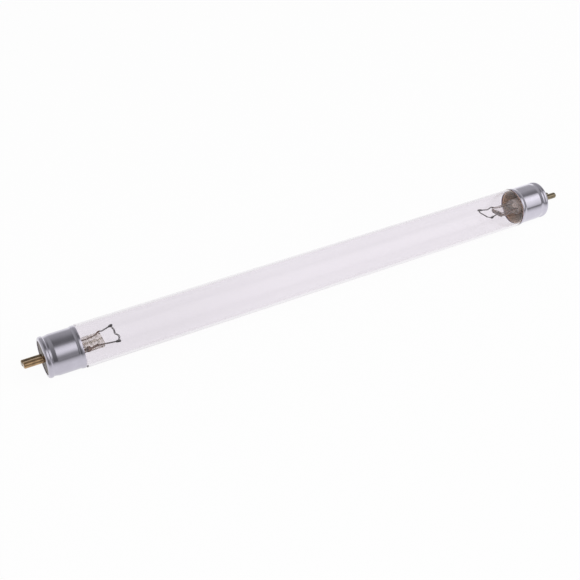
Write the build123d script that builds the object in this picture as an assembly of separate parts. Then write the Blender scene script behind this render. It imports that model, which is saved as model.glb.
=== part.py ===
from build123d import *
import math
import os

# Clear ultraviolet tube lamp with a two-pin cap at each end. Millimetres.
# The lamp lies along X with its left end at -X and the origin at its middle.
# Depths are measured inwards from a cap's outer face.

# Whole lamp
lamp_length = 212.1  # from cap face to cap face, without the pins
tube_diameter = 15.8
tube_wall = 0.8
fit_gap = 0.03  # clearance between pieces that are pushed or cemented together
shoulder_flats = 2  # cones that stand for each rounded shoulder

# End cap, a drawn aluminium shell
cap_length = 13.2
cap_step = 0.9  # how much slimmer the cap is than the tube, on the diameter
cap_wall = 0.3
cap_shoulder = 0.9  # radius of the rounded end
cap_opening = 12.4  # diameter of the hole that shows the insulating disc
groove_floor = 0.5  # width of the rolled groove's flat bottom
groove_depth = 0.35
groove_drop = 0.5  # length of the steep wall beside the disc
groove_climb = 1.3  # length of the long wall back up to the barrel
mouth_ring = 1.1  # length of the wider ring at the mouth
mouth_flare = 0.25  # how far that ring stands out from the barrel
mouth_rise = 0.5  # length of the slope up to it

# Insulating disc and contact pins
disc_thickness = 1.1
pin_spacing = 4.75
pin_diameter = 2.37
pin_length = 7.1
pin_tip_chamfer = 0.25
pin_neck_diameter = 1.8  # the part that is pressed through the disc
pin_bore_depth = 4.2
pin_roll = -30  # turn of the pin line about the lamp axis, which raises the near pin

# Glass neck and basing cement
neck_depth = 5.0  # where the neck's sealed end lies
cement_thickness = 0.65
cement_margin = 0.75  # from the neck's sealed end
cement_inset = 0.1  # from the glass shoulder
lip_gap = 0.08  # between the cap's lip and the glass that swells inside it

# Glass stem: flare, tube and flattened press, with a sealed exhaust tube in the left one
flare_rim = 0.8
flare_length = 3.5
stem_diameter = 6.4
stem_wall = 0.7
press_root = 12.0  # depth where the stem tube ends and the squeezed glass starts
press_taper = 2.6
press_length = 6.9
press_thickness = 2.2
exhaust_diameter = 2.4
exhaust_bore = 1.0
exhaust_tip = 3.2  # depth of its melted end
exhaust_tip_wall = 0.8

# Lead wires and filament
lead_diameter = 0.5
lead_run_out = 0.8  # straight length behind the pin, and beyond the press, before a bend
lead_root_spacing = 3.5  # where the wires enter the glass
lead_press_spacing = 5.0  # where they leave it
lead_spread = 9.2  # at their tips
lead_lift = 1.0  # how far they bend up out of the press's middle plane
left_electrode_depth = 26.7
right_electrode_depth = 27.4
left_electrode_roll = 2
right_electrode_roll = -11
clamp_width = 0.85
clamp_length = 1.7
coil_diameter = 0.8
coil_thread = 0.22
coil_turns = 2
coil_tail = 0.9  # straight end of the filament, from the coil to the middle of the clamp

# Sizes that follow from the ones above
half_length = lamp_length / 2
tube_radius = tube_diameter / 2
tube_bore_radius = tube_radius - tube_wall
cap_radius = tube_radius - cap_step / 2
cap_bore_radius = cap_radius - cap_wall
disc_back = cap_wall + disc_thickness
cap_face_radius = cap_radius - cap_shoulder
groove_start = disc_back + groove_drop
groove_stop = groove_start + groove_floor
groove_end = groove_stop + groove_climb
groove_radius = cap_radius - groove_depth
neck_radius = cap_bore_radius - cement_thickness
neck_bore_radius = neck_radius - tube_wall
lip_height = cement_thickness + mouth_flare - lip_gap  # from the neck to the glass in the mouth
shoulder_depth = cap_length - lip_height * math.tan(math.radians(45 / shoulder_flats))
stem_radius = stem_diameter / 2
stem_bore_radius = stem_radius - stem_wall
press_start = press_root + press_taper
press_end = press_start + press_length


def turned(*points):
    """Solid turned about the lamp axis from a closed outline of depth and radius."""
    return revolve(make_face(Polyline(*points, close=True)), axis=Axis.X)


def rounded(centre, radius, start, end):
    """Points of a rounded shoulder between two angles."""
    turns = [start + (end - start) * i / shoulder_flats for i in range(shoulder_flats + 1)]
    return [Vector(*centre) + Vector(radius, 0).rotate(Axis.Z, turn) for turn in turns]


def cap():
    """Shell with a rounded end, a rolled groove behind the disc, and a belled mouth."""
    ring_start = cap_length - mouth_ring
    return turned(
        (0, cap_opening / 2),
        *rounded((cap_shoulder, cap_face_radius), cap_shoulder, 180, 90),
        (disc_back, cap_radius),
        (groove_start, groove_radius),
        (groove_stop, groove_radius),
        (groove_end, cap_radius),
        (ring_start - mouth_rise, cap_radius),
        (ring_start, cap_radius + mouth_flare),
        (cap_length, cap_radius + mouth_flare),
        (cap_length, cap_bore_radius + mouth_flare),
        (ring_start - mouth_rise, cap_bore_radius),
        (groove_end, cap_bore_radius),
        (groove_stop, groove_radius - cap_wall),
        (groove_start, groove_radius - cap_wall),
        (disc_back, cap_bore_radius),
        (cap_wall, cap_face_radius),
        (cap_wall, cap_opening / 2),
    )


def along_axis(radius, start, end):
    """Round bar along the lamp axis between two depths."""
    return Pos(start, 0, 0) * extrude(Plane.YZ * Circle(radius), amount=end - start)


def insulator():
    """Disc with a bevelled rim that seats in the cap's rounded end, holed for the pins."""
    disc = turned(
        (cap_wall, 0),
        (cap_wall, cap_face_radius - fit_gap),
        (disc_back, cap_bore_radius - fit_gap),
        (disc_back, 0),
    )
    hole = along_axis(pin_neck_diameter / 2 + fit_gap, 0, disc_back + fit_gap)
    return disc - [Pos(0, side * pin_spacing / 2, 0) * hole for side in (-1, 1)]


def pin():
    """Hollow pin: plain outer body, and a thinner neck that is pressed through the disc."""
    radius = pin_diameter / 2
    body = turned(
        (-pin_length, 0),
        (-pin_length, radius - pin_tip_chamfer),
        (pin_tip_chamfer - pin_length, radius),
        (cap_wall, radius),
        (cap_wall, pin_neck_diameter / 2),
        (disc_back, pin_neck_diameter / 2),
        (disc_back, 0),
    )
    return body - along_axis(lead_diameter / 2 + fit_gap, disc_back - pin_bore_depth, disc_back + fit_gap)


def cement():
    """Ring of cement between the cap and the glass neck."""
    end = shoulder_depth - cement_inset
    start = neck_depth + cement_margin
    ring = along_axis(cap_bore_radius - fit_gap, start, end)
    return ring - along_axis(neck_radius + fit_gap, start - fit_gap, end + fit_gap)


def glass_tube():
    """Plain tube, drawn in at both ends through a rounded shoulder to a neck."""
    rise = tube_radius - neck_radius
    neck_end = half_length - neck_depth
    shoulder = half_length - shoulder_depth
    barrel_end = shoulder - rise
    return turned(
        *rounded((-barrel_end, neck_radius), rise, 180, 90),
        *rounded((barrel_end, neck_radius), rise, 90, 0),
        (neck_end, neck_radius),
        (neck_end, neck_bore_radius),
        (shoulder - tube_wall, neck_bore_radius),
        (barrel_end, tube_bore_radius),
        (-barrel_end, tube_bore_radius),
        (tube_wall - shoulder, neck_bore_radius),
        (-neck_end, neck_bore_radius),
        (-neck_end, neck_radius),
    )


def lead_corners(side, depth, twist):
    """Corners of a lead wire, from inside its pin to its tip at a depth; twist turns the pin end."""
    pin_y = side * pin_spacing / 2 * math.cos(math.radians(twist))
    pin_z = side * pin_spacing / 2 * math.sin(math.radians(twist))
    return [
        Vector(disc_back - pin_bore_depth + fit_gap, pin_y, pin_z),
        Vector(disc_back + lead_run_out, pin_y, pin_z),
        Vector(press_root - lead_run_out, side * lead_root_spacing / 2, 0),
        Vector(press_end + lead_run_out, side * lead_press_spacing / 2, 0),
        Vector(depth, side * lead_spread / 2, lead_lift),
    ]


def clamp_plane(side, depth):
    """Plane across a lead at its very tip, facing back along the wire."""
    corners = lead_corners(side, depth, 0)
    return Plane(corners[-1], x_dir=(0, 0, 1), z_dir=corners[-2] - corners[-1])


def clamp_middle(side, depth):
    """Middle of the folded clamp at a lead's tip, where the filament is held."""
    return clamp_plane(side, depth).from_local_coords(Vector(0, 0, clamp_length / 2))


def filament_tail(side, depth):
    """Straight end of the filament, from the first turn into the clamp."""
    length = coil_tail + coil_thread / 2
    middle = clamp_middle(side, depth) - Vector(0, side * length / 2, 0)
    return Pos(middle) * Box(coil_thread, length, coil_thread)


def filament(depth):
    """Coil with a straight tail at each end, each tail reaching the middle of a clamp."""
    near, far = clamp_middle(-1, depth), clamp_middle(1, depth)
    coil_length = far.Y - near.Y - 2 * coil_tail
    radius = (coil_diameter - coil_thread) / 2
    helix = Helix(coil_length / coil_turns, coil_length, radius, direction=(0, 1, 0))
    thread = Rectangle(coil_thread, coil_thread)
    coil = sweep(Plane(helix @ 0, z_dir=helix % 0) * thread, path=helix, is_frenet=True)
    coil = Pos(near + Vector(0, coil_tail, 0) - helix @ 0) * coil
    return coil + filament_tail(-1, depth) + filament_tail(1, depth)


def lead(side, depth, twist):
    """Wire from the pin through the press, its tip folded into a square clamp."""
    path = Polyline(*lead_corners(side, depth, twist))
    section = Plane(path @ 0, z_dir=path % 0) * Circle(lead_diameter / 2)
    wire = sweep(section, path=path, transition=Transition.RIGHT)
    clamp = extrude(clamp_plane(side, depth) * Rectangle(clamp_width, clamp_width), amount=clamp_length)
    return wire + clamp - filament_tail(side, depth)


def stem():
    """Flared tube, squeezed flat where the leads pass through it."""
    drop = neck_bore_radius - stem_radius
    slope = flare_length / drop
    cone_shift = stem_wall * math.hypot(flare_length, drop) / drop
    rim_start = neck_depth - flare_rim
    cone_end = neck_depth + flare_length
    bore_cone_end = cone_end - cone_shift + stem_wall * slope
    bore_rim_radius = neck_bore_radius - (rim_start - neck_depth + cone_shift) / slope
    funnel = turned(
        (rim_start, neck_radius),
        (neck_depth, neck_radius),
        (neck_depth, neck_bore_radius),
        (cone_end, stem_radius),
        (press_root, stem_radius),
        (press_root, stem_bore_radius),
        (bore_cone_end, stem_bore_radius),
        (rim_start, bore_rim_radius),
    )
    return funnel + along_axis(stem_radius, press_root, press_end) - jaw(1) - jaw(-1)


def exhausted(shape):
    """Add the melted-off tube through which the lamp was emptied, inside the stem."""
    tube = along_axis(exhaust_diameter / 2, exhaust_tip, press_root)
    bore = along_axis(exhaust_bore / 2, exhaust_tip + exhaust_tip_wall, press_end + fit_gap)
    return shape + tube - bore


def jaw(side):
    """Wedge of space that the jaw of the press takes from one side of the hot stem."""
    outline = Polyline(
        (press_root, side * stem_radius),
        (press_start, side * press_thickness / 2),
        (press_end + fit_gap, side * press_thickness / 2),
        (press_end + fit_gap, side * stem_diameter),
        (press_root, side * stem_diameter),
        close=True,
    )
    return extrude(Plane.XZ * make_face(outline), amount=stem_diameter, both=True)


def placed(shape, hand, roll):
    """Put a piece modelled by depth at an end, hand 1 left and -1 right, and roll it."""
    turn = 0 if hand == 1 else 180
    return Rot(roll, 0, 0) * Rot(0, 0, turn) * Pos(-half_length, 0, 0) * shape


def both_ends(shape, roll=0):
    """Copies of a piece at the two ends of the lamp."""
    return Compound([placed(shape, hand, roll) for hand in (1, -1)])


def electrode(end, hand, roll, depth):
    """Pins, leads and filament of one end, by node name."""
    twist = hand * (pin_roll - roll)
    pieces = {f"{end}_filament": placed(filament(depth), hand, roll)}
    for name, side in {"near": -hand, "far": hand}.items():
        spot = Pos(0, side * pin_spacing / 2, 0)
        pieces[f"{end}_{name}_pin"] = placed(spot * pin(), hand, pin_roll)
        pieces[f"{end}_{name}_lead"] = placed(lead(side, depth, twist), hand, roll)
    return pieces


nodes = electrode("left", 1, left_electrode_roll, left_electrode_depth)
nodes |= electrode("right", -1, right_electrode_roll, right_electrode_depth)
leads = [shape for name, shape in nodes.items() if name.endswith("lead")]
left_stem = placed(exhausted(stem()), 1, left_electrode_roll)
right_stem = placed(stem(), -1, right_electrode_roll)
nodes |= {
    "glass_tube": glass_tube(),
    "stems": left_stem + right_stem - leads,
    "end_caps": both_ends(cap()),
    "cement_rings": both_ends(cement()),
    "insulators": both_ends(insulator(), pin_roll),
}

os.makedirs("parts", exist_ok=True)
for name, shape in nodes.items():
    export_step(shape, f"parts/{name}.step")
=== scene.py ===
"""Looks of a clear two-ended ultraviolet tube lamp, built round its solid model."""

from math import cos, pi, radians, sin, tau

import bmesh
import bpy
from bpy.props import FloatProperty, FloatVectorProperty, IntProperty, PointerProperty
from mathutils import Matrix, Vector, noise


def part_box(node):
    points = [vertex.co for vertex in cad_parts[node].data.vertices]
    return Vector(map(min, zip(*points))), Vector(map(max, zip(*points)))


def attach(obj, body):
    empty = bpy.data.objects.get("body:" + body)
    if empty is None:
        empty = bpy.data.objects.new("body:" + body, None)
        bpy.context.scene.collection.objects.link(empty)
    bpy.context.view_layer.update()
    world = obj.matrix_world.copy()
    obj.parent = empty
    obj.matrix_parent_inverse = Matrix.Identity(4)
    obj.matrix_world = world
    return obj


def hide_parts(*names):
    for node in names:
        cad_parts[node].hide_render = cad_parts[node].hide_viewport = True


bl_info = {
    "name": "Ultraviolet Tube Lamp",
    "version": (1, 0, 0),
    "blender": (4, 5, 0),
    "location": "3D View > Sidebar > Tube Lamp",
    "description": "Builds a clear tube lamp's glass, caps, pins and electrodes, and a pale studio",
    "category": "Object",
}

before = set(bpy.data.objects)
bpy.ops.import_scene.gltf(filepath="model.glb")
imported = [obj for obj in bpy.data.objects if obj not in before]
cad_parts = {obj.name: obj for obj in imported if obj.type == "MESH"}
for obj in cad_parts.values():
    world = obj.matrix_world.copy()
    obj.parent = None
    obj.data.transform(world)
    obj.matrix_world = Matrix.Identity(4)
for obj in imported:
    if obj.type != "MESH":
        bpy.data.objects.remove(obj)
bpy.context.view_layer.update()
BODY = "root"
LEFT, RIGHT = -1, 1
ENDS = {"left": LEFT, "right": RIGHT}
SIDES = {"near": -1, "far": 1}
CAP_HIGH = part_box("end_caps")[1]
TUBE_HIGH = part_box("glass_tube")[1]
PIN_LOW, PIN_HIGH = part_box("left_near_pin")

# Facets round the slimmer pieces
STEM_SIDES, CEMENT_SIDES, PIN_SIDES, WIRE_SIDES = 96, 96, 64, 20

# How much the tube's glass bends light, along its length and where it is worked to a neck
TUBE_BEND, NECK_BEND = 1.44, 1.005

# Squareness of a stem's rings, where it is round and where it is pressed flat
ROUND, SQUARED = 2.0, 6.0

# Distance from a press's inner end, and the share of its full section there
PRESS_EDGE = ((0.0, 0.70), (0.00004, 0.82), (0.00015, 0.92), (0.0004, 1.0), (0.0008, 1.0))

# Distance in from a pin's tip and radius there, from the solder's edge to its middle
SOLDER_SPOT = (
    (0.00002, 0.00058), (0.00012, 0.00050), (0.00012, 0.00044),
    (0.00003, 0.00036), (0.0, 0.00018), (0.0, 0.0),
)

# How far each pin is darkened: a real tarnished film, plus painted shade on the far left pin and on
# both right pins
PIN_TARNISH_AND_SHADE = {
    "left_near_pin": 0.1, "left_far_pin": 0.6, "right_near_pin": 0.9, "right_far_pin": 0.9,
}

# Depth, place across and lift of each lead wire's bends, in millimetres
LEAD_BENDS = {
    ("left", "near"): (
        (12.8, -1.85, 0.0), (14.8, -2.15, -0.5), (15.7, -2.25, -0.65),
        (16.6, -2.2, -0.5), (18.6, -2.2, 0.0),
    ),
    ("left", "far"): (
        (18.6, 2.2, 0.1), (19.6, 2.25, 0.8), (20.5, 2.3, 1.65),
        (21.2, 2.35, 1.95), (22.0, 2.45, 1.4),
    ),
    ("right", "near"): (
        (18.3, -2.2, -0.1), (19.0, -2.3, -0.45), (20.8, -2.4, -0.25),
        (21.9, -2.45, 0.55), (22.7, -2.55, 0.65),
    ),
    ("right", "far"): (
        (19.5, 2.2, 0.2), (21.3, 2.3, 1.5), (22.5, 2.35, 1.75),
        (23.3, 2.45, 1.35), (23.8, 2.6, 1.0),
    ),
}

# Place back from a lead's tip and lift, as shares of its clamp's length and height
CLAMP_FOLD = (
    (1.15, 0.0), (0.85, -0.14), (0.15, -0.15), (0.0, 0.0), (0.15, 0.15), (0.95, 0.14),
)

# Depth and place across of each filament's waves, in millimetres
FILAMENT_WAVES = {
    "left": (
        (26.86, -2.99), (26.96, -1.9), (26.64, -1.2), (26.03, -0.6),
        (26.13, 0.5), (26.49, 1.84), (26.13, 3.2),
    ),
    "right": ((28.0, -3.7), (28.15, -2.0), (27.85, 0.3), (28.2, 1.7), (27.6, 3.2)),
}

# How bright the studio looks in the caps, from the viewer's horizon over the top to the far one
LEFT_WALLS = (
    (0.0, 0.30), (0.08, 0.25), (0.125, 0.36), (0.19, 0.76), (0.25, 0.96),
    (0.31, 0.93), (0.375, 0.70), (0.43, 0.30), (0.49, 0.17), (0.56, 0.16),
    (0.63, 0.20), (0.71, 0.30), (0.79, 0.37), (0.90, 0.44), (1.0, 0.80),
)
RIGHT_WALLS = (
    (0.0, 0.16), (0.015, 0.30), (0.05, 0.72), (0.125, 0.94), (0.20, 1.08),
    (0.28, 1.27), (0.35, 1.20), (0.42, 0.72), (0.46, 0.26), (0.51, 0.22),
    (0.58, 0.32), (0.67, 0.46), (0.89, 0.51), (1.0, 0.90),
)

# How bright the walls beyond the lamp's two ends look, on the viewer's side and the far side
NEAR_END_WALLS = (
    (0.0, 0.56), (0.15, 0.46), (0.30, 0.10), (0.45, 0.10), (0.88, 0.14), (1.0, 0.36),
)
FAR_END_WALLS = ((0.0, 0.60), (0.30, 0.50), (1.0, 0.60))

# How bright the floor looks in metal, from the viewer to the back and along the lamp
FLOOR_BACK = ((0.0, 0.22), (0.40, 0.36), (0.51, 0.62), (0.56, 0.86), (0.60, 0.90), (0.62, 1.0))
FLOOR_ALONG = ((0.15, 0.92), (0.75, 1.12))


def length(label, use, default):
    """A size in metres that a user may change."""
    return FloatProperty(
        name=label, description=use, default=default, min=0.0, precision=5, unit="LENGTH"
    )


def count(label, use, default, least):
    """A whole number that a user may change."""
    return IntProperty(name=label, description=use, default=default, min=least)


def angle(label, use, degrees):
    """A turn that a user may change."""
    return FloatProperty(name=label, description=use, default=radians(degrees), subtype="ANGLE")


def colour(label, use, default):
    """A colour that a user may change."""
    return FloatVectorProperty(
        name=label, description=use, default=default, size=3, min=0.0, max=1.0, subtype="COLOR"
    )


class LampSizes(bpy.types.PropertyGroup):
    """Sizes of the lamp; depths are measured inwards from a cap's outer face."""

    half_length: length("Half length", "From the middle to a cap's outer face", CAP_HIGH.x)
    ring_sides: count("Ring sides", "Facets round the glass and caps", 128, 24)
    tube_radius: length("Tube radius", "Outside of the glass", TUBE_HIGH.z)
    tube_wall: length("Tube wall", "Thickness of the glass", 0.0008)
    neck_radius: length("Neck radius", "Outside of the glass under the cap", 0.0065)
    neck_depth: length("Neck end", "Depth of the sealed end of the neck", 0.0050)
    shoulder_depth: length("Glass shoulder", "Depth of the tube's flat end", 0.01325)
    shoulder_round: length("Shoulder round", "Radius of the tube's rounded end", 0.0004)
    cap_radius: length("Cap radius", "Outside of the barrel", 0.00745)
    cap_wall: length("Cap wall", "Thickness of the drawn metal", 0.0003)
    cap_length: length("Cap length", "Depth of the mouth", 0.0132)
    cap_shoulder: length("Cap shoulder", "Radius of the rounded end", 0.0009)
    cap_opening: length("Cap opening", "Radius of the hole that shows the disc", 0.0062)
    groove_start: length("Groove start", "Depth where the groove starts to drop", 0.0014)
    groove_floor: length("Groove floor", "Depth where its floor starts", 0.0019)
    groove_rise: length("Groove rise", "Depth where its floor ends", 0.0021)
    groove_end: length("Groove end", "Depth where it meets the barrel", 0.0042)
    groove_sink: length("Groove sink", "How far the groove is rolled in", 0.00031)
    mouth_start: length("Mouth start", "Depth where the barrel starts to rise", 0.0112)
    mouth_ring: length("Mouth ring", "Depth where the mouth ring starts", 0.0121)
    mouth_flare: length("Mouth flare", "How far the mouth ring stands out", 0.00025)
    cement_start: length("Cement start", "Depth of the cement's outer end", 0.00575)
    cement_end: length("Cement end", "Depth of the cement's inner end", 0.01276)
    pin_radius: length("Pin radius", "Outside of a pin", (PIN_HIGH.y - PIN_LOW.y) / 2)
    pin_reach: length("Pin reach", "How far a pin stands out", -PIN_LOW.x - CAP_HIGH.x)
    disc_back: length("Disc back", "Depth of the disc's inner face", CAP_HIGH.x + PIN_HIGH.x)
    stem_radius: length("Stem radius", "Outside of the stem tube", 0.0032)
    stem_bore: length("Stem bore", "Inside of the stem tube", 0.0025)
    press_root: length("Press root", "Depth where the stem starts to flatten", 0.0120)
    press_start: length("Press start", "Depth where the stem is fully flat", 0.0146)
    press_end: length("Press end", "Depth of the stem's inner end", 0.0215)
    press_half: length("Press half thickness", "Half the flattened glass", 0.0011)
    lead_radius: length("Lead radius", "Round wire of the electrode", 0.00025)
    lead_spread: length("Lead spread", "Half the distance between the wire tips", 0.0046)
    lead_lift: length("Lead lift", "How far the tips lie above the press's plane", 0.0010)
    left_electrode: length("Left electrode", "Depth of the left wire tips", 0.0267)
    right_electrode: length("Right electrode", "Depth of the right wire tips", 0.0274)
    left_roll: angle("Left roll", "Turn of the left electrode about the lamp", 2.0)
    right_roll: angle("Right roll", "Turn of the right electrode about the lamp", -11.0)
    clamp_length: length("Clamp length", "Length of the folded wire tip", 0.0017)
    left_coil: length("Left coil", "Radius of the left filament's turns", 0.00026)
    right_coil: length("Right coil", "Radius of the right filament's turns", 0.00018)
    coil_thread: length("Coil thread", "Radius of the filament's wire", 0.00007)
    coil_turns: count("Coil turns", "Turns of the filament", 30, 2)


class LampColours(bpy.types.PropertyGroup):
    """Colours of the lamp's finishes."""

    glass: colour("Glass", "Tint of the tube", (0.932, 0.908, 0.938))
    stem: colour("Stem glass", "Tint of the flattened stem", (0.72, 0.68, 0.60))
    flare: colour("Stem flare", "Dusty glass of the flare inside a cap", (0.68, 0.585, 0.485))
    cap: colour("Cap metal", "Drawn aluminium", (0.655, 0.63, 0.72))
    cement: colour("Cement", "Basing cement under the caps", (0.62, 0.435, 0.25))
    disc: colour("Insulating disc", "Pressed paper of the end discs", (0.25, 0.225, 0.205))
    pin: colour("Pin metal", "Brass of the contact pins", (0.54, 0.355, 0.20))
    # Colour of the pins' tarnished film, also used as painted shade on the far left pin and the
    # right pins
    pin_tarnish_and_shade: colour("Tarnish", "Dull film on the older pins", (0.25, 0.215, 0.155))
    solder: colour("Solder", "Spot at a pin's tip", (0.62, 0.61, 0.60))
    lead: colour("Lead wire", "Nickel-plated wire", (0.20, 0.19, 0.185))
    seal: colour("Sealed wire", "Copper-clad wire inside the glass", (0.16, 0.085, 0.055))
    filament: colour("Filament", "Coiled tungsten", (0.15, 0.135, 0.13))
    floor: colour("Floor", "Pale studio floor", (1.0, 1.0, 1.0))


def sizes():
    """The lamp's sizes in the open scene."""
    return bpy.context.scene.lamp_sizes


def colours():
    """The lamp's colours in the open scene."""
    return bpy.context.scene.lamp_colours


def finish(name):
    """New material with its node tree and main shader."""
    material = bpy.data.materials.new(name)
    material.use_nodes = True
    return material, material.node_tree, material.node_tree.nodes["Principled BSDF"]


def feed(node, place, value):
    """Lead a socket into one of a node's inputs, or set a plain value there."""
    socket = node.inputs[place]
    if isinstance(value, bpy.types.NodeSocket):
        node.id_data.links.new(value, socket)
    else:
        socket.default_value = (*value, 1.0) if socket.type == "RGBA" else value


def made(tree, kind, **inputs):
    """New shading node with some of its inputs fed."""
    node = tree.nodes.new(f"ShaderNode{kind}")
    for place, value in inputs.items():
        feed(node, place, value)
    return node


def grain(tree, scale, stretch=(1, 1, 1), detail=4.0):
    """Noise that keeps its place on the piece, stretched along the lamp's axes."""
    place = made(tree, "TexCoord").outputs["Object"]
    mapped = made(tree, "Mapping", Vector=place, Scale=stretch).outputs["Vector"]
    texture = made(tree, "TexNoise", Vector=mapped, Scale=scale, Detail=detail)
    return texture.outputs["Fac"]


def shaded(tone, amount):
    """A colour made lighter or darker."""
    return tuple(min(1.0, part * amount) for part in tone)


def spread(tree, factor, *stops):
    """Colours laid along a factor, each stop a place and a colour or a grey."""
    ramp = made(tree, "ValToRGB", Fac=factor)
    while len(ramp.color_ramp.elements) < len(stops):
        ramp.color_ramp.elements.new(0.5)
    for element, (place, tone) in zip(ramp.color_ramp.elements, stops):
        element.position = place
        element.color = (*tone, 1.0) if hasattr(tone, "__len__") else (tone, tone, tone, 1.0)
    return ramp.outputs["Color"]


def tones(tree, factor, tone, *stops):
    """One colour laid along a factor, each stop a place and how light the colour is there."""
    return spread(tree, factor, *((place, shaded(tone, amount)) for place, amount in stops))


def mixed(tree, factor, low, high, blend="MIX"):
    """Colour that goes from one socket or colour to another by a factor."""
    mix = made(tree, "Mix")
    mix.data_type = "RGBA"
    mix.blend_type = blend
    for place, value in (("Factor", factor), (6, low), (7, high)):
        feed(mix, place, value)
    return mix.outputs[2]


def times(tree, one, two):
    """Product of two colours."""
    return mixed(tree, 1.0, one, two, "MULTIPLY")


def sums(tree, operation, *values):
    """Result of a sum on sockets and numbers."""
    node = made(tree, "Math")
    node.operation = operation
    for place, value in enumerate(values):
        feed(node, place, value)
    return node.outputs[0]


def places(tree, kind="Object"):
    """Place along, across and up, each on its own."""
    coordinates = made(tree, "TexCoord").outputs[kind]
    return made(tree, "SeparateXYZ", Vector=coordinates).outputs


def painted(tree, name):
    """Amount painted on the piece's own points."""
    attribute = made(tree, "Attribute")
    attribute.attribute_name = name
    return attribute.outputs["Fac"]


def relief(tree, shader, factor, strength, distance):
    """Fine bumps from a factor."""
    bump = made(tree, "Bump", Strength=strength, Distance=distance, Height=factor)
    feed(shader, "Normal", bump.outputs["Normal"])


def seen_rays(tree, kinds, amount=1.0):
    """An amount for the named kinds of ray and nothing for the others."""
    path = made(tree, "LightPath")
    total = path.outputs[kinds[0]]
    for kind in kinds[1:]:
        total = sums(tree, "MAXIMUM", total, path.outputs[kind])
    return sums(tree, "MULTIPLY", total, amount)


def show_mix(tree, factor, one, two):
    """Show one of two shaders by a factor."""
    mix = made(tree, "MixShader")
    for place, value in enumerate((factor, one, two)):
        feed(mix, place, value)
    feed(tree.nodes["Material Output"], "Surface", mix.outputs["Shader"])


def let_light_in(tree, shader, tint, turns):
    """Let lamps and scattered light through a glass, and out what has turned often in its wall."""
    path = made(tree, "LightPath")
    caught = sums(tree, "GREATER_THAN", path.outputs["Ray Depth"], turns - 0.5)
    from_lamps = seen_rays(tree, ("Is Shadow Ray", "Is Diffuse Ray"))
    clear = made(tree, "BsdfTransparent", Color=tint)
    straight = sums(tree, "MAXIMUM", from_lamps, caught)
    show_mix(tree, straight, shader.outputs["BSDF"], clear.outputs["BSDF"])


def glass_finish():
    """Clear drawn glass with faint lengthwise streaks and a film towards its left end."""
    material, tree, shader = finish("clear_glass")
    tint = colours().glass
    streaks = grain(tree, scale=420.0, stretch=(0.03, 1.0, 1.0), detail=3.0)
    drawn = tones(tree, streaks, tint, (0.35, 0.985), (0.65, 1.0))
    x, _, _ = places(tree)
    along = sums(tree, "MULTIPLY_ADD", x, 12.0, 0.75)
    film = spread(tree, along, (0.0, 0.974), (0.35, 0.99), (0.6, 1.0))
    facing = made(tree, "LayerWeight").outputs["Facing"]
    thick = spread(tree, facing, (0.5, 1.0), (0.7, 0.955))
    feed(shader, "Base Color", times(tree, times(tree, drawn, film), thick))
    feed(shader, "Roughness", spread(tree, streaks, (0.3, 0.0), (0.8, 0.02)))
    relief(tree, shader, streaks, strength=0.015, distance=0.0001)
    worked = painted(tree, "worked")
    feed(shader, "IOR", sums(tree, "MULTIPLY_ADD", worked, NECK_BEND - TUBE_BEND, TUBE_BEND))
    feed(shader, "Transmission Weight", 1.0)
    let_light_in(tree, shader, shaded(tint, 1.02), turns=4)
    return material


def stem_finish():
    """Squeezed glass, mottled where the wires are sealed in and dusty on its flare."""
    material, tree, shader = finish("stem_glass")
    tint = colours().stem
    mottle = grain(tree, scale=1050.0, detail=3.5)
    clear = spread(tree, mottle, (0.3, (0.90, 0.90, 0.88)), (0.7, (0.96, 0.96, 0.96)))
    smoky = spread(
        tree, mottle, (0.36, shaded(tint, 0.42)), (0.5, tint), (0.62, (0.95, 0.94, 0.91))
    )
    squeezed = mixed(tree, painted(tree, "sealed"), clear, smoky)
    dusty = painted(tree, "dusty")
    feed(shader, "Base Color", mixed(tree, dusty, squeezed, colours().flare))
    feed(shader, "Transmission Weight", spread(tree, dusty, (0.0, 0.92), (1.0, 0.12)))
    smooth = spread(tree, mottle, (0.3, 0.01), (0.7, 0.10))
    feed(shader, "Roughness", mixed(tree, dusty, smooth, (0.8, 0.8, 0.8)))
    relief(tree, shader, grain(tree, scale=1500.0), strength=0.2, distance=0.0001)
    feed(shader, "IOR", 1.2)
    let_light_in(tree, shader, (0.95, 0.94, 0.93), turns=8)
    return material


def cap_finish():
    """Drawn aluminium with fine lines round the barrel and a little handling wear."""
    material, tree, shader = finish("drawn_aluminium")
    lines = grain(tree, scale=900.0, stretch=(4.0, 0.12, 0.12), detail=3.0)
    wear = grain(tree, scale=350.0, detail=6.0)
    bare = tones(tree, wear, colours().cap, (0.35, 0.95), (0.6, 1.0), (0.75, 1.05))
    smear = painted(tree, "smear")
    feed(shader, "Base Color", mixed(tree, smear, bare, colours().cement))
    polish = spread(tree, wear, (0.3, 0.07), (0.7, 0.13))
    feed(shader, "Roughness", mixed(tree, smear, polish, (0.9, 0.9, 0.9)))
    relief(tree, shader, lines, strength=0.05, distance=0.00005)
    feed(shader, "Metallic", sums(tree, "SUBTRACT", 1.0, smear))
    return material


def cement_finish():
    """Baked basing cement, brown and grainy."""
    material, tree, shader = finish("basing_cement")
    lumps = grain(tree, scale=1400.0, detail=8.0)
    brown = tones(tree, lumps, colours().cement, (0.3, 0.55), (0.5, 1.0), (0.7, 1.6))
    feed(shader, "Base Color", brown)
    feed(shader, "Roughness", spread(tree, lumps, (0.3, 0.7), (0.7, 0.95)))
    relief(tree, shader, lumps, strength=0.6, distance=0.0002)
    return material


def disc_finish():
    """Pressed insulating paper with light and dark fibres."""
    material, tree, shader = finish("insulating_disc")
    fibres = grain(tree, scale=2600.0, stretch=(1.0, 1.0, 0.3), detail=6.0)
    paper = tones(tree, fibres, colours().disc, (0.3, 0.7), (0.5, 1.0), (0.68, 1.35))
    feed(shader, "Base Color", paper)
    feed(shader, "Roughness", spread(tree, fibres, (0.3, 0.45), (0.7, 0.7)))
    relief(tree, shader, fibres, strength=0.25, distance=0.00008)
    return material


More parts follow.
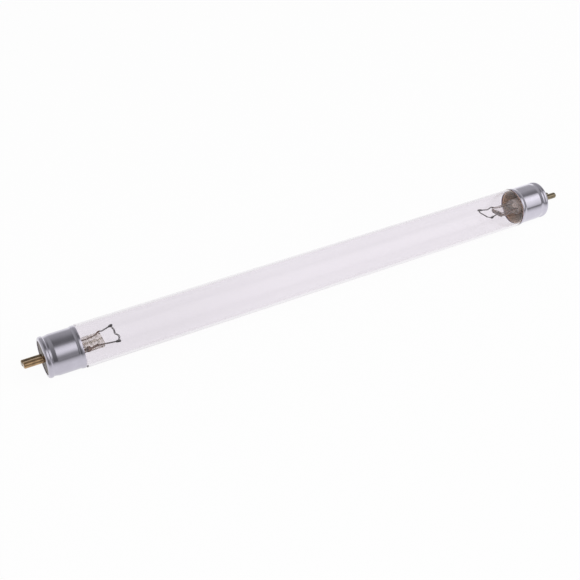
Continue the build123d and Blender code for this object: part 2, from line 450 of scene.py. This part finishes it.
def pin_finish():
    """Brass with a matt tarnished film, which also paints shade on the far and right pins, and a
    bright solder spot at the tip.
    """
    material, tree, shader = finish("pin_brass")
    stains = grain(tree, scale=1100.0, stretch=(0.35, 1.0, 1.0), detail=6.0)
    brass = tones(tree, stains, colours().pin, (0.35, 0.5), (0.5, 1.0), (0.65, 1.15))
    tarnished_and_shaded = tones(tree, stains, colours().pin_tarnish_and_shade, (0.35, 0.6), (0.5, 1.0), (0.65, 1.15))
    # Painted shade: the tarnished film colour is laid more heavily over the far left pin and the
    # right pins
    worn = mixed(tree, painted(tree, "tarnish_and_shade"), brass, tarnished_and_shaded)
    feed(shader, "Base Color", mixed(tree, painted(tree, "solder"), worn, colours().solder))
    feed(shader, "Roughness", spread(tree, stains, (0.3, 0.12), (0.7, 0.22)))
    relief(tree, shader, stains, strength=0.08, distance=0.00006)
    feed(shader, "Metallic", 1.0)
    return material


def lead_finish():
    """Plated wire, copper brown where it is sealed in glass and dark at the clamp."""
    material, tree, shader = finish("lead_wire")
    wire = colours().lead
    scratches = grain(tree, scale=3000.0, stretch=(0.3, 1.0, 1.0))
    bright = tones(tree, scratches, wire, (0.3, 0.75), (0.7, 1.25))
    sealed = painted(tree, "sealed")
    clad = mixed(tree, sealed, bright, colours().seal)
    feed(shader, "Base Color", mixed(tree, painted(tree, "heated"), clad, shaded(wire, 0.35)))
    worn = spread(tree, scratches, (0.3, 0.28), (0.7, 0.45))
    feed(shader, "Roughness", mixed(tree, sealed, worn, (0.85, 0.85, 0.85)))
    relief(tree, shader, scratches, strength=0.15, distance=0.00003)
    feed(shader, "Metallic", spread(tree, sealed, (0.0, 0.7), (1.0, 0.0)))
    return material


def filament_finish():
    """Coiled tungsten with a dusting of pale emitter paste."""
    material, tree, shader = finish("coiled_tungsten")
    dust = grain(tree, scale=4200.0, detail=5.0)
    metal = tones(tree, dust, colours().filament, (0.35, 0.7), (0.58, 1.0), (0.72, 2.2))
    feed(shader, "Base Color", metal)
    feed(shader, "Roughness", spread(tree, dust, (0.3, 0.4), (0.7, 0.8)))
    feed(shader, "Metallic", 0.5)
    return material


def floor_finish():
    """White floor that keeps a faint shadow and looks shaded in metal, darker near the viewer."""
    material, tree, shader = finish("pale_floor")
    tone = colours().floor
    feed(shader, "Base Color", shaded(tone, 0.95))
    feed(shader, "Roughness", 0.9)
    feed(shader, "Specular IOR Level", 0.0)
    x, y, _ = places(tree)
    back = spread(tree, sums(tree, "MULTIPLY_ADD", y, 2.0, 0.6), *FLOOR_BACK)
    along = spread(tree, sums(tree, "MULTIPLY_ADD", x, 2.5, 0.4), *FLOOR_ALONG)
    plain = seen_rays(tree, ("Is Camera Ray", "Is Transmission Ray"))
    glow = made(tree, "Emission", Color=mixed(tree, plain, times(tree, back, along), tone))
    seen = seen_rays(tree, ("Is Camera Ray", "Is Glossy Ray", "Is Transmission Ray"), 0.95)
    show_mix(tree, seen, shader.outputs["BSDF"], glow.outputs["Emission"])
    material.cycles.emission_sampling = "NONE"
    return material


def step(value, start, end):
    """Smooth rise from 0 to 1 between two values."""
    part = min(1.0, max(0.0, (value - start) / (end - start)))
    return part * part * (3 - 2 * part)


def arc(centre, radius, start, end, steps):
    """Depth and radius along a rounded corner, between two angles in degrees."""
    turns = [radians(start + (end - start) * number / steps) for number in range(steps + 1)]
    return [(centre[0] + radius * cos(turn), centre[1] + radius * sin(turn)) for turn in turns]


def slope(start, end, low, high, steps=10):
    """Depth and height along a smooth slope."""
    parts = [number / steps for number in range(steps + 1)]
    return [
        (start + (end - start) * part, low + (high - low) * step(part, 0.0, 1.0))
        for part in parts
    ]


def around(sides):
    """Angles of the points round a ring."""
    return [tau * side / sides for side in range(sides)]


def rotated(x, y, z, roll):
    """A point turned about the lamp."""
    return Vector((x, y * cos(roll) - z * sin(roll), y * sin(roll) + z * cos(roll)))


def ring(x, radius, sides, centre=(0.0, 0.0)):
    """Points of a circle across the lamp; no radius gives a lone point."""
    if radius == 0:
        return [Vector((x, *centre))]
    y, z = centre
    return [Vector((x, y + radius * cos(t), z + radius * sin(t))) for t in around(sides)]


def turned(outline, hand, sides, centre=(0.0, 0.0)):
    """Rings of a turned piece at one end, from its outline of depth and radius."""
    half = sizes().half_length
    return [ring(hand * (half - depth), radius, sides, centre) for depth, radius in outline]


def closed(rings):
    """Rings joined back to the first one."""
    return rings + rings[:1]


def skin(name, strips, material, sharp=40.0, join=1e-7):
    """Piece made of strips of rings, each ring joined to the next."""
    shape = bmesh.new()
    for rings in strips:
        loops = [[shape.verts.new(point) for point in points] for points in rings]
        for one, two in zip(loops, loops[1:]):
            most = max(len(one), len(two))
            for here in range(most):
                there = (here + 1) % most
                corners = (
                    one[here % len(one)], one[there % len(one)],
                    two[there % len(two)], two[here % len(two)],
                )
                shape.faces.new(dict.fromkeys(corners))
    bmesh.ops.remove_doubles(shape, verts=shape.verts, dist=join)
    bmesh.ops.recalc_face_normals(shape, faces=shape.faces)
    data = bpy.data.meshes.new(name)
    shape.to_mesh(data)
    shape.free()
    data.shade_smooth()
    data.set_sharp_from_angle(angle=radians(sharp))
    data.materials.append(material)
    piece = bpy.data.objects.new(name, data)
    bpy.context.scene.collection.objects.link(piece)
    return piece


def paint(piece, name, amount):
    """Store an amount on each point of a piece, from its place."""
    layer = piece.data.attributes.new(name, "FLOAT", "POINT")
    for point, slot in zip(piece.data.vertices, layer.data):
        slot.value = amount(point.co)


def fit(piece, slot, *nodes):
    """Let a piece stand for its solids and ride with the lamp."""
    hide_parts(*nodes)
    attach(piece, BODY)


def depth_of(point):
    """Depth of a point from the nearer cap face."""
    return sizes().half_length - abs(point.x)


class GlassTube(bpy.types.Operator):
    """Build the clear tube with its rounded shoulders and necks"""

    bl_idname = "tube_lamp.glass_tube"
    bl_label = "Glass Tube"

    def execute(self, context):
        s = sizes()
        bore = s.tube_radius - s.tube_wall
        neck_bore = s.neck_radius - s.tube_wall
        soft, edge, end_wall, hold = 0.0002, 0.0003, 0.0005, 0.0003
        front, back = s.shoulder_depth, s.shoulder_depth + end_wall
        rounded = s.shoulder_round
        outside = [(s.neck_depth, s.neck_radius), (front - soft - hold, s.neck_radius)]
        outside += arc((front - soft, s.neck_radius + soft), soft, 270, 360, 4)
        outside += arc((front + rounded, s.tube_radius - rounded), rounded, 180, 90, 12)
        outside.append((front + rounded + hold, s.tube_radius))
        inside = [(back + soft + hold, bore)] + arc((back + soft, bore - soft), soft, 90, 180, 5)
        inside += arc((back - edge, neck_bore + edge), edge, 360, 270, 5)
        inside += [(back - edge - hold, neck_bore), (s.neck_depth, neck_bore)]
        rings = turned(outside, LEFT, s.ring_sides) + turned(outside[::-1], RIGHT, s.ring_sides)
        rings += turned(inside[::-1], RIGHT, s.ring_sides) + turned(inside, LEFT, s.ring_sides)
        piece = skin("clear_tube", [closed(rings)], glass_finish())
        paint(piece, "worked", lambda point: 1 - step(depth_of(point), back, back + soft))
        fit(piece, "glass", "glass_tube")
        return {"FINISHED"}


def flattened(depth, wide, high, power, hand, roll, sides):
    """Ring across a stem, from round to a flat oval, turned about the lamp."""
    x = hand * (sizes().half_length - depth)
    if wide == 0:
        return [Vector((x, 0.0, 0.0))]
    points = []
    for turn in around(sides):
        y = wide * abs(cos(turn)) ** (2 / power) * (1 if cos(turn) > 0 else -1)
        z = high * abs(sin(turn)) ** (2 / power) * (1 if sin(turn) > 0 else -1)
        points.append(rotated(x, y, z, roll))
    return points


def press_rings(exhaust, steps=10):
    """Depth, half width, half height and squareness of a press's rings, from its inner end out."""
    s = sizes()
    widening, hold = 1.03, 0.0005
    wide, high = s.stem_radius * widening, s.press_half
    rings = [(s.press_end, 0.0, 0.0, ROUND)]
    if exhaust:
        bore, bore_end, soft = 0.0005, 0.0040, 0.0001
        rings = [(bore_end, 0.0, 0.0, ROUND)]
        rings += [(end, bore, bore, ROUND) for end in (bore_end + soft, s.press_end - soft)]
    rings += [(s.press_end - drop, wide * part, high * part, SQUARED) for drop, part in PRESS_EDGE]
    rings.append((s.press_start + hold, wide, high, SQUARED))
    for number in range(steps + 1):
        rise = step(number / steps, 0.0, 1.0)
        rings.append((
            s.press_start + (s.press_root - s.press_start) * number / steps,
            wide + (s.stem_radius - wide) * rise,
            high + (s.stem_radius - high) * rise,
            SQUARED + (ROUND - SQUARED) * rise,
        ))
    return rings


def flare_outline(exhaust):
    """Depth and radius of a stem's turned part, out to its rim and back along its bore."""
    s = sizes()
    neck_bore = s.neck_radius - s.tube_wall
    seat = s.neck_depth - 0.00001
    tube = [(0.0117, s.stem_radius), (0.0089, s.stem_radius)]
    bend = [(0.0086, s.stem_radius + 0.00006), (0.0082, s.stem_radius + 0.00026)]
    flare = [(0.0054, neck_bore - 0.0003), (0.0051, neck_bore - 0.0001), (seat, neck_bore)]
    rim = [(seat, s.neck_radius), (0.0043, s.neck_radius), (0.0042, s.neck_radius - 0.0001)]
    hollow = [(0.0042, 0.0055), (0.0043, 0.0053), (0.0079, 0.00276), (0.0081, 0.00262)]
    bore = [(0.0084, s.stem_bore), (0.0095, s.stem_bore)]
    narrowing = [(0.0103, s.stem_bore - 0.0003), (0.0110, s.stem_bore - 0.0007)]
    end = [(s.press_root, 0.0013), (s.press_root, 0.0)]
    if exhaust:
        melted_tip = [(0.0038, 0.0012), (0.0034, 0.00105), (0.00325, 0.0006), (0.0032, 0.0)]
        end = [(s.press_root, 0.0013), (s.press_root, 0.0012), *melted_tip]
    return tube + bend + flare + rim + hollow + bore + narrowing + end


class Stems(bpy.types.Operator):
    """Build the flared stems, flattened round the wires, with a melted-off tube in the left"""

    bl_idname = "tube_lamp.stems"
    bl_label = "Stems"

    def execute(self, context):
        s = sizes()
        strips = []
        for hand, roll in ((LEFT, s.left_roll), (RIGHT, s.right_roll)):
            exhaust = hand == LEFT
            outline = press_rings(exhaust)
            outline += [(depth, radius, radius, ROUND) for depth, radius in flare_outline(exhaust)]
            strips.append([flattened(*row, hand, roll, STEM_SIDES) for row in outline])
        piece = skin("glass_stems", strips, stem_finish())
        paint(piece, "sealed", self.smoked)
        paint(piece, "dusty", self.dusted)
        fit(piece, "glass", "stems")
        return {"FINISHED"}

    @staticmethod
    def smoked(point):
        """How smoky the squeezed glass is at a point, much less at the right end."""
        most, lead_in = 1.0 if point.x < 0 else 0.4, 0.0005
        return most * step(depth_of(point), sizes().press_root - lead_in, sizes().press_start)

    @staticmethod
    def dusted(point):
        """How dusty the flare's glass is at a point, clearing where the stem starts to flatten."""
        root, fade = sizes().press_root, 0.0014
        return 1 - step(depth_of(point), root, root + fade)


def cap_outline():
    """Depth and radius round the cap's wall, outside first."""
    s = sizes()
    bore = s.cap_radius - s.cap_wall
    corner = (s.cap_shoulder, s.cap_radius - s.cap_shoulder)
    edge, lip, crown, hold = 0.00008, s.cap_wall / 2, 0.00006, 0.0002
    rolled = slope(s.groove_start, s.groove_floor, 0.0, -s.groove_sink)
    rolled += slope(s.groove_rise, s.groove_end, -s.groove_sink, 0.0, 14)
    rolled += [(s.groove_end + hold, 0.0), (s.mouth_start - hold, 0.0)]
    rolled += slope(s.mouth_start, s.mouth_ring, 0.0, s.mouth_flare)
    ring_end = s.cap_length - lip
    for part in (0.125, 0.25, 0.375, 0.5, 0.625, 0.75, 0.875, 0.95, 1.0):
        swell = crown * 4 * part * (1 - part)
        rolled.append((s.mouth_ring + (ring_end - s.mouth_ring) * part, s.mouth_flare + swell))
    outline = [(edge, s.cap_opening), (0.0, s.cap_opening + edge)]
    outline += arc(corner, s.cap_shoulder, 180, 90, 14)
    outline += [(depth, s.cap_radius + rise) for depth, rise in rolled]
    outline += arc((ring_end, s.cap_radius + s.mouth_flare - lip), lip, 80, -80, 8)
    outline += [(depth, bore + rise) for depth, rise in rolled[::-1]]
    outline += arc(corner, s.cap_shoulder - s.cap_wall, 90, 180, 8)
    return outline + [(s.cap_wall, s.cap_opening + edge), (s.cap_wall - edge, s.cap_opening)]


class EndCaps(bpy.types.Operator):
    """Build the two drawn caps with a rounded end, a rolled groove and a flared mouth"""

    bl_idname = "tube_lamp.end_caps"
    bl_label = "End Caps"

    def execute(self, context):
        sides = sizes().ring_sides
        strips = [closed(turned(cap_outline(), hand, sides)) for hand in ENDS.values()]
        piece = skin("drawn_caps", strips, cap_finish())
        paint(piece, "smear", self.smeared)
        fit(piece, "cap_metal", "end_caps")
        return {"FINISHED"}

    @staticmethod
    def smeared(point):
        """How much cement is smeared on the cap's inside at a point, by its mouth."""
        s = sizes()
        depth = depth_of(point)
        start, full, fading, end = 0.0105, 0.0110, 0.0125, 0.0129
        flare = s.mouth_flare * step(depth, s.mouth_start, s.mouth_ring)
        middle = s.cap_radius - s.cap_wall / 2 + flare
        if Vector((point.y, point.z)).length >= middle - s.cap_wall / 4:
            return 0.0
        return step(depth, start, full) * (1 - step(depth, fading, end))


class Cement(bpy.types.Operator):
    """Build the rings of basing cement, with the uneven edge they set with"""

    bl_idname = "tube_lamp.cement"
    bl_label = "Cement"

    def execute(self, context):
        s = sizes()
        gap, bulge, ragged, lumps = 0.00002, 0.0001, 0.0002, 700.0
        inner, outer = s.neck_radius + gap, s.cap_radius - s.cap_wall - gap
        middle = (inner + outer) / 2
        start, end = s.cement_start, s.cement_end
        outline = [(start, inner), (start - bulge, middle), (start, outer)]
        outline += [(end, outer), (end + bulge, middle), (end, inner)]
        strips = []
        for hand in ENDS.values():
            rings = turned(outline, hand, CEMENT_SIDES)
            for points in rings:
                for point in points:
                    point.x += ragged * noise.noise(point * lumps)
            strips.append(closed(rings))
        fit(skin("cement_fill", strips, cement_finish()), "cement", "cement_rings")
        return {"FINISHED"}


class Discs(bpy.types.Operator):
    """Give the insulating discs their pressed-paper finish"""

    bl_idname = "tube_lamp.discs"
    bl_label = "Insulating Discs"

    def execute(self, context):
        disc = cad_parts["insulators"]
        disc.data.materials.clear()
        disc.data.materials.append(disc_finish())
        return {"FINISHED"}


class Pins(bpy.types.Operator):
    """Build the four brass contact pins with their rounded, soldered tips"""

    bl_idname = "tube_lamp.pins"
    bl_label = "Contact Pins"

    def execute(self, context):
        s = sizes()
        brass = pin_finish()
        tip, back = -s.pin_reach, s.disc_back
        neck, bevel, rounded = 0.0009, 0.0001, 0.0006
        outline = [(back, 0.0), (back, neck - bevel), (back - bevel, neck)]
        outline += [(s.cap_wall, neck), (s.cap_wall, s.pin_radius)]
        outline += arc((tip + rounded, s.pin_radius - rounded), rounded, 90, 180, 8)
        outline += [(tip + sunk, radius) for sunk, radius in SOLDER_SPOT]
        for end, hand in ENDS.items():
            for side in SIDES:
                node = f"{end}_{side}_pin"
                low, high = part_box(node)
                centre = ((low.y + high.y) / 2, (low.z + high.z) / 2)
                rings = turned(outline, hand, PIN_SIDES, centre)
                piece = skin(f"pin_{end}_{side}", [rings], brass)
                axis = Vector((0.0, *centre))
                paint(piece, "solder", lambda point: self.soldered(point, axis))
                # Each pin's amount is partly real tarnished film and partly painted shade
                paint(piece, "tarnish_and_shade", lambda point: PIN_TARNISH_AND_SHADE[node])
                fit(piece, "pin_metal", node)
        return {"FINISHED"}

    @staticmethod
    def soldered(point, axis):
        """How much of the pin's tip is covered by the solder spot at a point."""
        start, full = sizes().pin_reach - 0.0007, sizes().pin_reach - 0.0003
        spot, ragged, edge, lumps = 0.00085, 0.00015, 0.0001, 2500.0
        away = (Vector((0.0, point.y, point.z)) - axis).length
        reach = spot + ragged * noise.noise(point * lumps)
        return step(-depth_of(point), start, full) * (1 - step(away, reach, reach + edge))


def electrode_point(end, depth, across, up):
    """Place of a point of an electrode, across and up before its turn about the lamp."""
    s = sizes()
    roll = s.left_roll if end == "left" else s.right_roll
    return rotated(ENDS[end] * (s.half_length - depth), across, up, roll)


def lead_corners(end, side):
    """Corners of a lead wire, from inside its pin to its tip."""
    s = sizes()
    low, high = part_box(f"{end}_{side}_pin")
    hand, sign = ENDS[end], SIDES[side]
    pin = (low + high) / 2
    in_pin, behind_disc, root_depth, root_half = 0.00277, 0.0022, 0.0112, 0.00175
    tip = s.left_electrode if end == "left" else s.right_electrode
    bends = LEAD_BENDS[end, side]
    return [
        Vector((hand * (s.half_length + in_pin), pin.y, pin.z)),
        Vector((hand * (s.half_length - behind_disc), pin.y, pin.z)),
        electrode_point(end, root_depth, sign * root_half, 0.0),
        *(electrode_point(end, *(part / 1000 for part in bend)) for bend in bends),
        electrode_point(end, tip, sign * s.lead_spread, s.lead_lift),
    ]


def clamp_point(end, side):
    """Middle of the clamp at a wire's tip, where the filament is held."""
    corners = lead_corners(end, side)
    return corners[-1] + (corners[-2] - corners[-1]).normalized() * sizes().clamp_length / 2


def softened(points, rounds=3):
    """Points of a path with its corners cut round, ends kept."""
    for _ in range(rounds):
        cut = [points[0]]
        for one, two in zip(points, points[1:]):
            cut += [one.lerp(two, 0.25), one.lerp(two, 0.75)]
        points = cut + [points[-1]]
    return points


def swept(path, widths, face, sides):
    """Rings of a wire along a path, wide across and high along a direction, with closed ends."""
    rings = [[path[0]]]
    for place, point in enumerate(path):
        ahead = path[min(place + 1, len(path) - 1)] - path[max(place - 1, 0)]
        ahead.normalize()
        up = (face - ahead * face.dot(ahead)).normalized()
        across = ahead.cross(up)
        wide, high = widths[place]
        rings.append([
            point + across * wide * cos(t) + up * high * sin(t) for t in around(sides)
        ])
    return rings + [[path[-1]]]


class Leads(bpy.types.Operator):
    """Build the four lead wires, bent out of the glass and folded flat over the filament's ends"""

    bl_idname = "tube_lamp.leads"
    bl_label = "Lead Wires"

    def execute(self, context):
        s = sizes()
        wire = lead_finish()
        fold_height, wider, thinner = 0.0017, 0.00013, 0.00012
        for end in ENDS:
            face = electrode_point(end, s.half_length, 0.0, 1.0)
            for side in SIDES:
                corners = lead_corners(end, side)
                tip = corners[-1]
                along = (tip - corners[-2]).normalized()
                up = (face - along * face.dot(along)).normalized()
                leaf = [
                    tip - along * s.clamp_length * back + up * fold_height * lift
                    for back, lift in CLAMP_FOLD
                ]
                path = softened(corners[:-1]) + softened(leaf)
                widths = []
                for place, point in enumerate(path):
                    near = (tip - point).dot(along) / s.clamp_length
                    flat = (1 - step(near, 0.75, 1.15)) if place > len(path) // 3 else 0.0
                    bead = self.bead(point) if (end, side) == ("left", "near") else 0.0
                    wide = s.lead_radius + wider * flat + bead
                    widths.append((wide, s.lead_radius - thinner * flat + bead))
                rings = swept(path, widths, face, WIRE_SIDES)
                piece = skin(f"lead_{end}_{side}", [rings], wire)
                paint(piece, "sealed", self.sealed)
                paint(piece, "heated", lambda point: self.heated((point - tip).length))
                fit(piece, "lead_wire", f"{end}_{side}_lead")
        return {"FINISHED"}

    @staticmethod
    def bead(point):
        """Extra thickness of the dark bead fused round the near wire, in the squeezed glass."""
        middle, half, thick = 0.0157, 0.00095, 0.0007
        part = (depth_of(point) - middle) / half
        return thick * max(0.0, 1 - part * part) ** 0.5

    @staticmethod
    def sealed(point):
        """How far a point of a wire lies inside the glass."""
        depth, end = depth_of(point), sizes().press_end
        return step(depth, 0.0110, 0.0125) * (1 - step(depth, end - 0.0005, end + 0.0004))

    @staticmethod
    def heated(away):
        """How dark the clamp's heat has left a wire, by the distance from its tip."""
        clamp = sizes().clamp_length
        return 1 - step(away, clamp * 0.8, clamp * 2.2)


def coil_tree():
    """Node tree that winds a path into a coil with straight ends."""
    points_a_turn, end_rise, thread_sides = 14.0, 12.0, 7
    tree = bpy.data.node_groups.new("wound_filament", "GeometryNodeTree")
    tree.is_modifier = True
    for label, kind, way in (
        ("Path", "Geometry", "INPUT"), ("Turns", "Int", "INPUT"), ("Radius", "Float", "INPUT"),
        ("Thread", "Float", "INPUT"), ("Finish", "Material", "INPUT"),
        ("Coil", "Geometry", "OUTPUT"),
    ):
        tree.interface.new_socket(label, in_out=way, socket_type=f"NodeSocket{kind}")
    inlet = tree.nodes.new("NodeGroupInput").outputs
    outlet = tree.nodes.new("NodeGroupOutput").inputs

    def add(kind, *links):
        node = tree.nodes.new(f"GeometryNode{kind}")
        for source, place in links:
            feed(node, place, source)
        return node

    def vector(operation, one, two, place=1):
        node = made(tree, "VectorMath")
        node.operation = operation
        feed(node, 0, one)
        feed(node, place, two)
        return node.outputs[0]

    samples = sums(tree, "MULTIPLY", inlet["Turns"], points_a_turn)
    path = add("ResampleCurve", (inlet["Path"], "Curve"), (samples, "Count"))
    part = add("SplineParameter").outputs["Factor"]
    turn = sums(tree, "MULTIPLY", sums(tree, "MULTIPLY", part, inlet["Turns"]), tau)
    rest = sums(tree, "SUBTRACT", 1.0, part)
    nearest = sums(tree, "MULTIPLY", sums(tree, "MINIMUM", part, rest), end_rise)
    reach = sums(tree, "MULTIPLY", sums(tree, "MINIMUM", nearest, 1.0), inlet["Radius"])
    normal = add("InputNormal").outputs["Normal"]
    tangent = add("InputTangent").outputs["Tangent"]
    side = vector("CROSS_PRODUCT", tangent, normal)
    out = sums(tree, "MULTIPLY", reach, sums(tree, "COSINE", turn))
    over = sums(tree, "MULTIPLY", reach, sums(tree, "SINE", turn))
    moved = [vector("SCALE", *pair, "Scale") for pair in ((normal, out), (side, over))]
    offset = vector("ADD", *moved)
    wound = add("SetPosition", (path.outputs[0], "Geometry"), (offset, "Offset"))
    section = add("CurvePrimitiveCircle", (thread_sides, "Resolution"), (inlet["Thread"], "Radius"))
    wire = add(
        "CurveToMesh", (wound.outputs[0], "Curve"),
        (section.outputs[0], "Profile Curve"), (True, "Fill Caps"),
    )
    smooth = add("SetShadeSmooth", (wire.outputs[0], 0), (True, "Shade Smooth"))
    real = add("RealizeInstances", (smooth.outputs[0], 0))
    done = add("SetMaterial", (real.outputs[0], 0), (inlet["Finish"], "Material"))
    tree.links.new(done.outputs[0], outlet["Coil"])
    return tree


class Filaments(bpy.types.Operator):
    """Wind the two filaments between their clamps, each a little wavy as it sagged in use"""

    bl_idname = "tube_lamp.filaments"
    bl_label = "Filaments"

    def execute(self, context):
        s = sizes()
        tree = coil_tree()
        metal = filament_finish()
        items = tree.interface.items_tree
        inputs = {item.name: item.identifier for item in items if item.in_out == "INPUT"}
        for end in ENDS:
            path = self.path(context.scene, end)
            winding = path.modifiers.new("winding", "NODES")
            winding.node_group = tree
            radius = s.left_coil if end == "left" else s.right_coil
            values = {
                "Turns": s.coil_turns, "Radius": radius, "Thread": s.coil_thread, "Finish": metal,
            }
            for label, value in values.items():
                winding[inputs[label]] = value
            graph = context.evaluated_depsgraph_get()
            data = bpy.data.meshes.new_from_object(path.evaluated_get(graph))
            path.modifiers.remove(winding)
            bpy.data.objects.remove(path)
            if not data.polygons:
                raise RuntimeError(f"the {end} filament has no surface")
            piece = bpy.data.objects.new(f"filament_{end}_coil", data)
            context.scene.collection.objects.link(piece)
            fit(piece, "filament", f"{end}_filament")
        return {"FINISHED"}

    @staticmethod
    def path(scene, end):
        """Wavy line from one clamp to the other, for a filament to be wound along."""
        waves = [
            electrode_point(end, depth / 1000, across / 1000, sizes().lead_lift)
            for depth, across in FILAMENT_WAVES[end]
        ]
        spots = [clamp_point(end, "near"), *waves, clamp_point(end, "far")]
        curve = bpy.data.curves.new(f"path_{end}", "CURVE")
        curve.dimensions = "3D"
        spline = curve.splines.new("NURBS")
        spline.points.add(len(spots) - 1)
        for point, spot in zip(spline.points, spots):
            point.co = (*spot, 1.0)
        spline.use_endpoint_u = True
        spline.order_u = 4
        line = bpy.data.objects.new(f"path_{end}", curve)
        scene.collection.objects.link(line)
        return line


class Stage(bpy.types.Operator):
    """Set the lamp on a pale floor under one long soft light, with the camera above its left end"""

    bl_idname = "tube_lamp.stage"
    bl_label = "Stage"

    def execute(self, context):
        scene = context.scene
        reach, low = 8.0, -sizes().tube_radius
        corners = [
            (-reach, -reach, low), (reach, -reach, low), (reach, reach, low), (-reach, reach, low),
        ]
        data = bpy.data.meshes.new("floor")
        data.from_pydata(corners, [], [(0, 1, 2, 3)])
        data.materials.append(floor_finish())
        floor = bpy.data.objects.new("floor", data)
        scene.collection.objects.link(floor)
        self.light(scene)
        self.sky(scene)
        self.camera(scene)
        scene.view_settings.view_transform = "Standard"
        return {"FINISHED"}

    @staticmethod
    def light(scene):
        """One long soft light along the lamp, on the viewer's side."""
        lift, away, shift, brightness = radians(53.0), 1.0, 0.4, 1.15
        toward = Vector((0.0, -cos(lift), sin(lift)))
        lamp = bpy.data.lights.new("long_softbox", "AREA")
        lamp.shape = "RECTANGLE"
        lamp.size, lamp.size_y = 2.6, 0.95
        lamp.energy = brightness * pi * lamp.size * lamp.size_y
        softbox = bpy.data.objects.new("long_softbox", lamp)
        across = Vector((1.0, 0.0, 0.0))
        turn = Matrix((across, toward.cross(across), toward)).transposed()
        place = Matrix.Translation(across * shift + toward * away)
        softbox.matrix_world = place @ turn.to_4x4()
        softbox.visible_camera = softbox.visible_glossy = softbox.visible_transmission = False
        scene.collection.objects.link(softbox)

    @staticmethod
    def sky(scene):
        """Studio walls: white to the eye and through glass, shaded front to back for the rest."""
        world = bpy.data.worlds.new("studio")
        scene.world = world
        world.use_nodes = True
        tree = world.node_tree
        x, y, z = places(tree, "Generated")
        over = sums(tree, "ARCTAN2", z, sums(tree, "MULTIPLY", y, -1.0))
        share = sums(tree, "DIVIDE", over, pi)
        ends = sums(tree, "MULTIPLY_ADD", x, 0.5, 0.5)
        lit = mixed(
            tree, sums(tree, "MULTIPLY_ADD", x, 2.1, -0.22),
            spread(tree, share, *LEFT_WALLS), spread(tree, share, *RIGHT_WALLS),
        )
        dim = mixed(
            tree, share, spread(tree, ends, *NEAR_END_WALLS), spread(tree, ends, *FAR_END_WALLS)
        )
        reach = spread(tree, ends, (0.42, 0.0), (0.48, 1.0), (0.84, 1.0), (0.90, 0.0))
        walls = mixed(tree, reach, dim, lit)
        seen = seen_rays(tree, ("Is Camera Ray", "Is Transmission Ray"))
        feed(tree.nodes["Background"], "Color", mixed(tree, seen, walls, (1.0, 1.0, 1.0)))

    @staticmethod
    def camera(scene):
        """Camera above the left end, looking along the lamp towards its far end."""
        turn, drop, roll = radians(27.329), radians(38.730), radians(0.129)
        aside, above, away = 0.009391, 0.007315, 0.380394
        flat = Vector((cos(turn), -sin(turn), 0.0))
        level = Vector((sin(turn), cos(turn), 0.0))
        ahead = level * cos(drop) - Vector((0.0, 0.0, sin(drop)))
        head = level * sin(drop) + Vector((0.0, 0.0, cos(drop)))
        right = flat * cos(roll) - head * sin(roll)
        up = flat * sin(roll) + head * cos(roll)
        data = bpy.data.cameras.new("camera")
        data.lens, data.sensor_width = 62.07, 36.0
        data.clip_start, data.clip_end = 0.01, 50.0
        camera = bpy.data.objects.new("camera", data)
        place = Matrix.Translation(-(right * aside + up * above + ahead * away))
        camera.matrix_world = place @ Matrix((right, up, -ahead)).transposed().to_4x4()
        scene.collection.objects.link(camera)
        scene.camera = camera


class LampPanel(bpy.types.Panel):
    """Lists the lamp's sizes, colours and building steps"""

    bl_idname = "VIEW3D_PT_tube_lamp"
    bl_label = "Tube Lamp"
    bl_space_type = "VIEW_3D"
    bl_region_type = "UI"
    bl_category = "Tube Lamp"

    def draw(self, context):
        for builder in BUILDERS:
            self.layout.operator(builder.bl_idname)
        for group in (context.scene.lamp_sizes, context.scene.lamp_colours):
            box = self.layout.box()
            for name in group.__annotations__:
                box.prop(group, name)


BUILDERS = (GlassTube, Stems, EndCaps, Cement, Discs, Pins, Leads, Filaments, Stage)
CLASSES = (LampSizes, LampColours, *BUILDERS, LampPanel)


def register():
    for item in CLASSES:
        bpy.utils.register_class(item)
    bpy.types.Scene.lamp_sizes = PointerProperty(type=LampSizes)
    bpy.types.Scene.lamp_colours = PointerProperty(type=LampColours)


def unregister():
    del bpy.types.Scene.lamp_colours
    del bpy.types.Scene.lamp_sizes
    for item in reversed(CLASSES):
        bpy.utils.unregister_class(item)


def main():
    """Build the lamp and its stage."""
    register()
    for builder in BUILDERS:
        group, name = builder.bl_idname.split(".")
        getattr(getattr(bpy.ops, group), name)()


if __name__ == "__main__":
    main()
